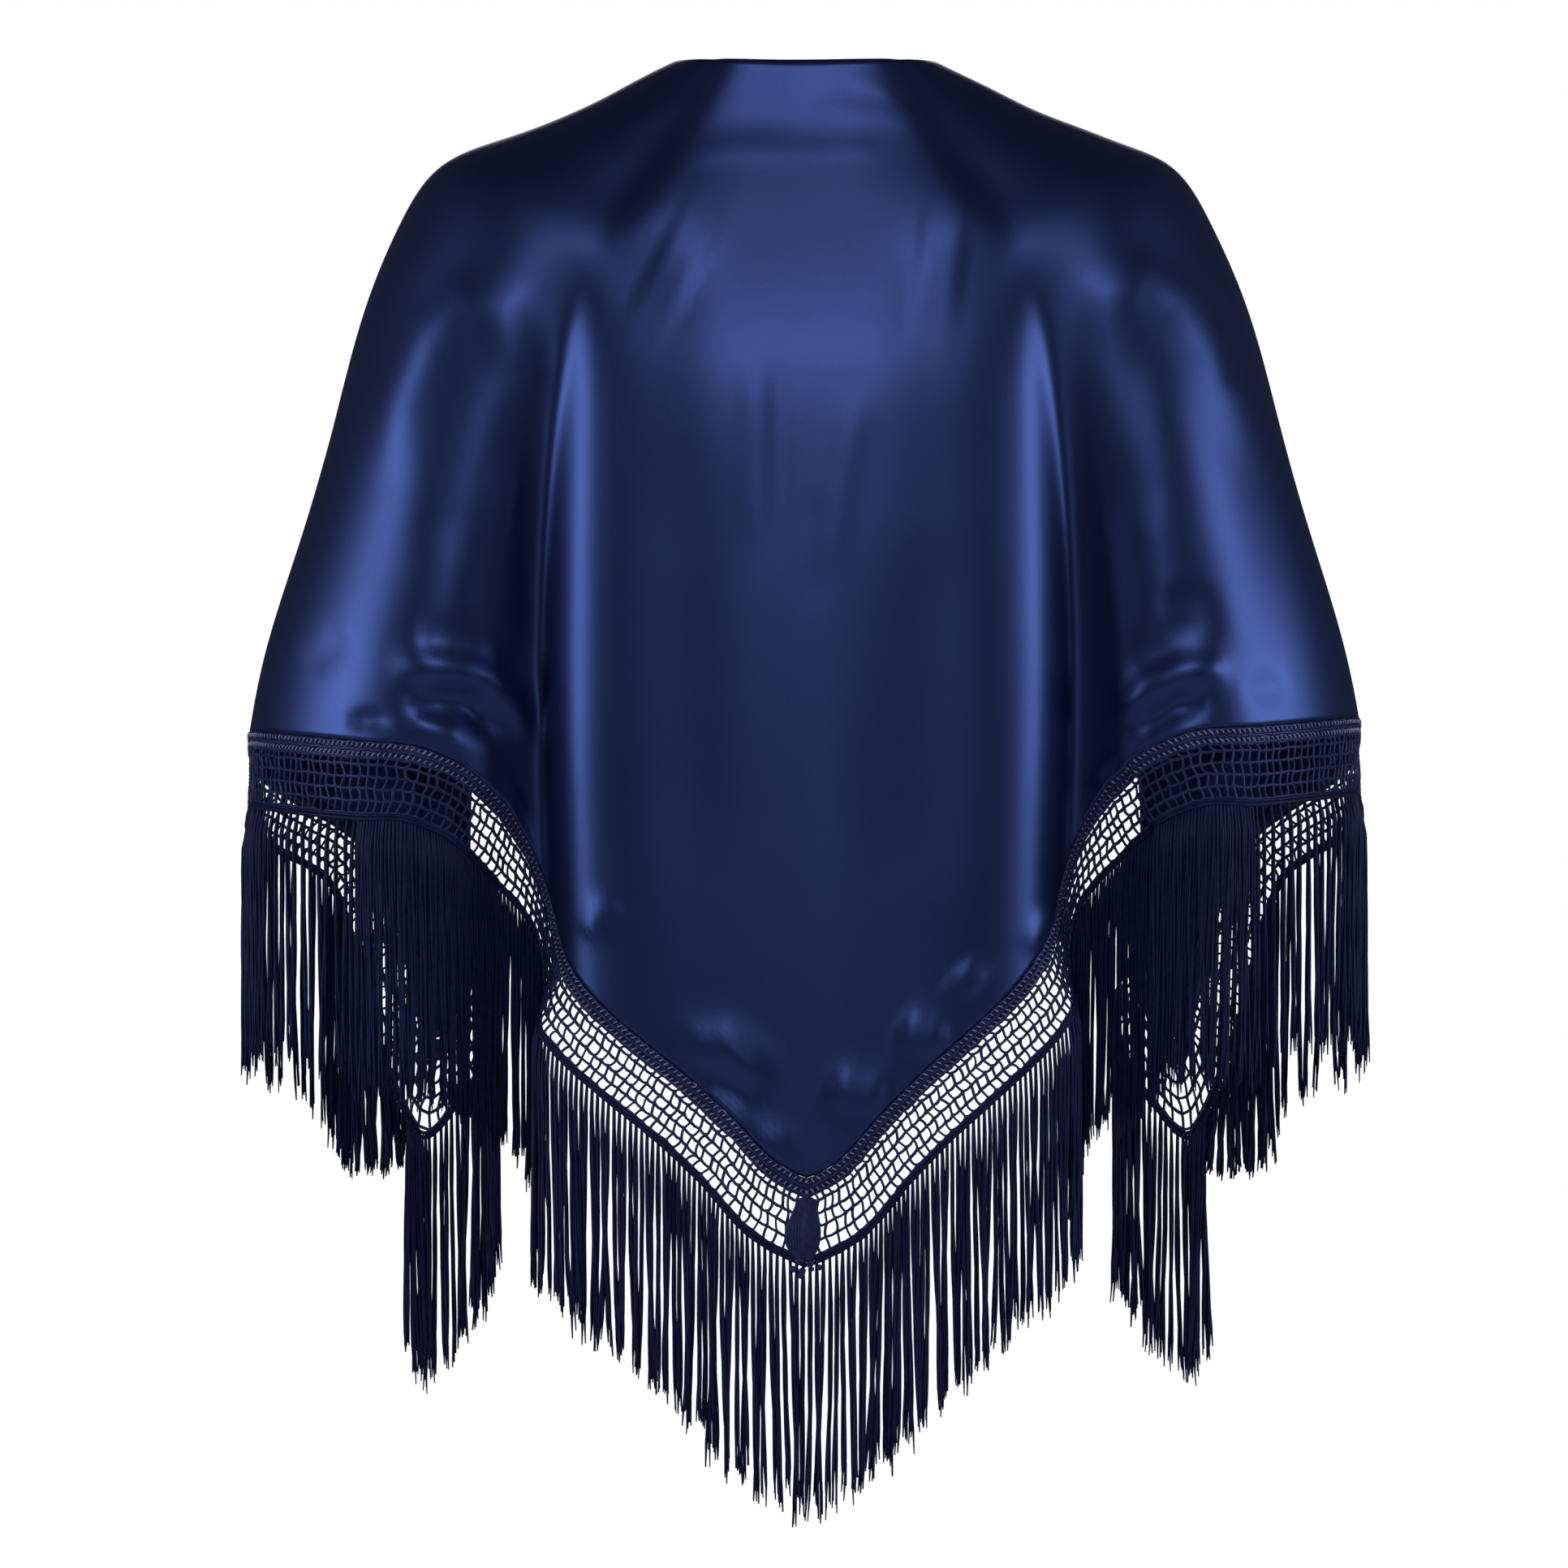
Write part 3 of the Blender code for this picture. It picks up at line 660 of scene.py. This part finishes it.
# Border and fringe: two cords and a row of wraps, from which each strand hangs as a few loose threads.
fringeValues = {"seed": 41, "seedStep": 7, "length": 0.144, "uneven": 0.006, "root": 0.985, "clump": 0.00132,
                "steep": (0.90, 0.9266), "foot": -0.583, "footUneven": 0.004,
                "cuffs": (0.36, 0.53), "cuffsLonger": 0.012,
                "wrap": (0.0013, 0.0026, 0.0013), "wrapBack": 0.0015, "cordUneven": (0.85, 1.15),
                "border": ((0.92, 0.0012), (0.965, 0.0014)), "borderStep": 0.003, "borderLift": 0.0004,
                "spans": {"back": (0.0, 0.30), "sleeve": (0.30, 0.71), "front": (0.71, 1.0)}}
strandValues = {"steps": 12, "sway": 0.0022, "swayAcross": 0.6, "swayDeep": 0.4, "clumpBend": 1.5,
                "wander": 0.0012, "wanderTurns": (0.5, 1.4), "wanderRate": 3.1, "wanderStart": 6,
                "stand": 0.0022, "standRate": 12,
                "threads": 4, "threadRadius": 0.00074, "threadUneven": (0.85, 1.15), "threadEnds": (0.93, 1.02),
                "spread": 0.00078, "spreadRate": 9, "spreadLeast": 0.25, "spreadUneven": (0.7, 1.3),
                "twist": 5.5, "fray": 0.00182, "frayFrom": 0.72, "bluntRate": 16, "bluntLeast": 0.5}
# Distance between strands, in millimetres, at places across.
strandPitches = (
    (0.0, 4.1), (0.32, 4.0), (0.36, 3.0), (0.39, 2.1), (0.52, 2.0), (0.54, 7.0), (0.63, 7.2),
    (0.67, 6.4), (0.75, 6.4), (0.79, 7.2), (0.88, 7.0), (0.90, 5.0), (0.926, 6.0), (0.927, 2.0),
    (0.932, 2.0), (0.934, 5.2), (0.952, 5.2), (0.956, 2.8), (1.0, 2.8),
)


def horizontal(vectors):
    flat = vectors * (1, 1, 0)
    return flat / np.maximum(np.linalg.norm(flat, axis=1), 1e-6)[:, None]


# Strands over the cuffs hang a little longer, and those where the edge runs steeply end level.
def strandLength(root, place, draws):
    values = fringeValues
    long = values["length"] + draws.uniform(-values["uneven"], values["uneven"])
    if values["steep"][0] < place < values["steep"][1]:
        uneven = draws.uniform(-values["footUneven"], values["footUneven"])
        long = min(long, root[2] - values["foot"] + uneven)
    if values["cuffs"][0] < place < values["cuffs"][1]:
        long += values["cuffsLonger"]
    return long


def strandLines(root, side, out, draws, clump, place):
    values = strandValues
    long = strandLength(root, place, draws)
    t = np.linspace(0, 1, values["steps"])
    sway = draws.normal(0, values["sway"], 2)
    turns = draws.uniform(*values["wanderTurns"])
    start = draws.uniform(0, values["wanderStart"])
    wander = np.sin(turns * values["wanderRate"] * t + start) - math.sin(start)
    across = sway[0] * t * values["swayAcross"] + values["wander"] * wander * t
    across = across + clump * t ** values["clumpBend"]
    depth = values["stand"] * np.clip(t * values["standRate"], 0, 1) + sway[1] * values["swayDeep"] * t
    centre = root + across[:, None] * side + depth[:, None] * out - np.outer(long * t, (0, 0, 1))
    lines, radii = [], []
    for i in range(values["threads"]):
        angle = i * 2 * math.pi / values["threads"] + values["twist"] * t + draws.uniform(0, 1)
        apart = values["spread"] * np.clip(t * values["spreadRate"], values["spreadLeast"], 1)
        apart = apart + values["fray"] * np.clip(t - values["frayFrom"], 0, 1)
        apart = apart * draws.uniform(*values["spreadUneven"])
        line = centre + np.outer(apart * np.cos(angle), side) + np.outer(apart * np.sin(angle), out)
        line[:, 2] = root[2] - (root[2] - line[:, 2]) * draws.uniform(*values["threadEnds"])
        lines.append(line)
        thin = np.clip((1.0 - t) * values["bluntRate"], values["bluntLeast"], 1)
        radii.append(values["threadRadius"] * thin * draws.uniform(*values["threadUneven"]))
    return lines, radii


# Strands stand closer together over the cuffs and at the front tips.
def fringePlaces(side, start, end):
    fine = np.linspace(start, end, samples["line"])
    line = trimPoints(side, fine, 1.0)
    pitches = np.array(strandPitches)
    pitch = np.interp(fine, pitches[:, 0], pitches[:, 1]) / 1000
    steps = np.linalg.norm(np.diff(line, axis=0), axis=1) / ((pitch[1:] + pitch[:-1]) / 2)
    along = np.concatenate([[0], np.cumsum(steps)])
    count = round(along[-1])
    return np.interp((np.arange(count) + 0.5) * along[-1] / count, along, fine)


def addFringe(side, sideName, part):
    values = fringeValues
    span = values["spans"][part]
    draws = np.random.default_rng(values["seed"] + side + values["seedStep"] * len(part))
    places = fringePlaces(side, *span)
    here, along, down, out = trimFrame(side, places, values["root"])
    sideways, away = horizontal(along), horizontal(out)
    lines, radii, knots = [], [], []
    clump = np.repeat(draws.normal(0, 1, len(places)), 3)[: len(places)]
    group = np.arange(len(places)) % 3 - 1
    wide, tall, deep = values["wrap"]
    for i in range(len(places)):
        pull = -group[i] * values["clump"] * abs(clump[i])
        found, thick = strandLines(here[i], sideways[i], away[i], draws, pull, places[i])
        lines += found
        radii += thick
        size = draws.uniform(*values["cordUneven"])
        middle = here[i] - down[i] * values["wrapBack"]
        knots.append((middle, along[i] * wide * size, down[i] * tall * size, out[i] * deep * size))
    for share, radius in values["border"]:
        border = evenPlaces(side, 1.0, values["borderStep"], *span)
        at, _, _, outIt = trimFrame(side, border, share)
        lines.append(at + outIt * values["borderLift"])
        radii.append(radius * draws.uniform(*values["cordUneven"], len(border)))
    mesh = withKnots(cordMesh("fringe", lines, radii), knots)
    name = f"fringe_{part}_{sideName}"
    return addPiece(name + "Threads", mesh, thread, [name])


trims = []
for side, sideName in ((-1, "left"), (1, "right")):
    trims += [*addHeading(side, sideName), addNet(side, sideName)]
    trims += [addFringe(side, sideName, part) for part in fringeValues["spans"]]
    print(sideName, "trim made")


# Join at the back point: cords drawn together from both trims, over a small cluster of knots.
joinValues = {"seed": 5, "points": 9, "cords": 7, "radius": 0.0010, "acrossStart": 0.001, "acrossStep": 0.0011,
              "shareStart": 0.20, "shareStep": 0.012, "footShare": 0.93, "footStep": 0.0003, "footLeft": -0.001,
              "stand": 0.001, "bulge": {-1: -0.0013, 1: 0.0007}, "bulgeOut": 0.0014, "bulgeDown": 1.4,
              "knots": 9, "knotSpread": (0.0045, 0.0028), "knotStand": 0.0015, "knotSize": (0.0016, 0.0026),
              "knotWide": 1.3}


def addJoin():
    values = joinValues
    draws = np.random.default_rng(values["seed"])
    lines, radii, knots = [], [], []
    t = np.linspace(0, 1, values["points"])
    bulge = np.sin(math.pi * t ** values["bulgeDown"])
    for side in (-1, 1):
        for i in range(values["cords"]):
            across = np.array([values["acrossStart"] + values["acrossStep"] * i])
            top = trimPoints(side, across, values["shareStart"] + values["shareStep"] * i)[0]
            foot = trimPoints(side, np.array([values["acrossStart"]]), values["footShare"])[0]
            foot = foot + (side * values["footStep"] * i + values["footLeft"], -values["stand"], 0)
            line = top + (foot - top) * t[:, None]
            line[:, 0] += bulge * values["bulge"][side] * i
            line[:, 1] -= values["bulgeOut"] * bulge
            lines.append(line)
            radii.append(values["radius"])
    foot = trimPoints(1, np.array([0.0]), 1.0)[0]
    wide, tall = values["knotSpread"]
    for i in range(values["knots"]):
        spot = foot + (draws.normal(0, wide), -values["knotStand"], draws.normal(0, tall))
        size = draws.uniform(*values["knotSize"])
        knots.append((spot, (size * values["knotWide"], 0, 0), (0, size, 0), (0, 0, size)))
    mesh = withKnots(cordMesh("join", lines, radii), knots)
    return addPiece("backPointJoin", mesh, cord, [])


join = addJoin()
print("trim joined")


# Pale floor, white surroundings, soft light from both sides and from above.
floorValues = {"size": 2.2, "height": -1.46, "colour": (0.8, 0.8, 0.8, 1), "roughness": 0.8}
worldValues = {"onCloth": 0.04, "seen": 1.0}
lightValues = {
    "left": {"place": (-3.1, -0.85, 0.2), "target": (0, 0, -0.3), "size": 1.4, "power": 30},
    "right": {"place": (3.1, -0.85, 0.2), "target": (0, 0, -0.3), "size": 1.4, "power": 30},
    "upperFront": {"place": (0, -2.9, 1.5), "target": (0, 0, -0.2), "size": 1.2, "power": 22},
    "front": {"place": (0, -3.3, -0.2), "target": (0, 0, -0.35), "size": 0.7, "power": 3},
    "behind": {"place": (0, 3.0, 0.6), "target": (0, 0, -0.3), "size": 1.6, "power": 14},
}


def addStage():
    bm = bmesh.new()
    bmesh.ops.create_grid(bm, x_segments=1, y_segments=1, size=floorValues["size"])
    bmesh.ops.translate(bm, verts=bm.verts, vec=(0, 0, floorValues["height"]))
    mesh = bpy.data.meshes.new("floor")
    bm.to_mesh(mesh)
    bm.free()
    pale = bpy.data.materials.new("paleFloor")
    pale.use_nodes = True
    shader = pale.node_tree.nodes["Principled BSDF"]
    shader.inputs["Base Color"].default_value = floorValues["colour"]
    shader.inputs["Roughness"].default_value = floorValues["roughness"]
    mesh.materials.append(pale)
    floor = bpy.data.objects.new("floor", mesh)
    bpy.context.scene.collection.objects.link(floor)


def addLight(name, place, target, size, power):
    data = bpy.data.lights.new(name, "AREA")
    data.shape = "DISK"
    data.size = size
    data.energy = power
    made = bpy.data.objects.new(name, data)
    made.location = place
    made.rotation_euler = (Vector(target) - Vector(place)).to_track_quat("-Z", "Y").to_euler()
    bpy.context.scene.collection.objects.link(made)


def addWorld():
    world = bpy.data.worlds.new("white")
    world.use_nodes = True
    bpy.context.scene.world = world
    nodes, links = world.node_tree.nodes, world.node_tree.links
    path = nodes.new("ShaderNodeLightPath")
    mix = nodes.new("ShaderNodeMix")
    mix.inputs["A"].default_value = worldValues["onCloth"]
    mix.inputs["B"].default_value = worldValues["seen"]
    links.new(path.outputs["Is Camera Ray"], mix.inputs["Factor"])
    links.new(mix.outputs["Result"], nodes["Background"].inputs["Strength"])
    nodes["Background"].inputs["Color"].default_value = (1, 1, 1, 1)


addStage()
addWorld()
for name, values in lightValues.items():
    addLight(name, **values)

# Long-lens camera, level, on the back's side.
cameraValues = {"place": (-0.0129, -4.0, -0.3508), "sensor": 36, "wide": 0.889, "plane": 3.873}
camera = bpy.data.objects.new("camera", bpy.data.cameras.new("camera"))
camera.data.sensor_width = cameraValues["sensor"]
camera.data.lens = cameraValues["sensor"] * cameraValues["plane"] / cameraValues["wide"]
camera.location = cameraValues["place"]
camera.rotation_euler = (math.radians(90), 0, 0)
bpy.context.scene.collection.objects.link(camera)
bpy.context.scene.camera = camera
bpy.context.scene.view_settings.view_transform = "Standard"

print("scene ready")
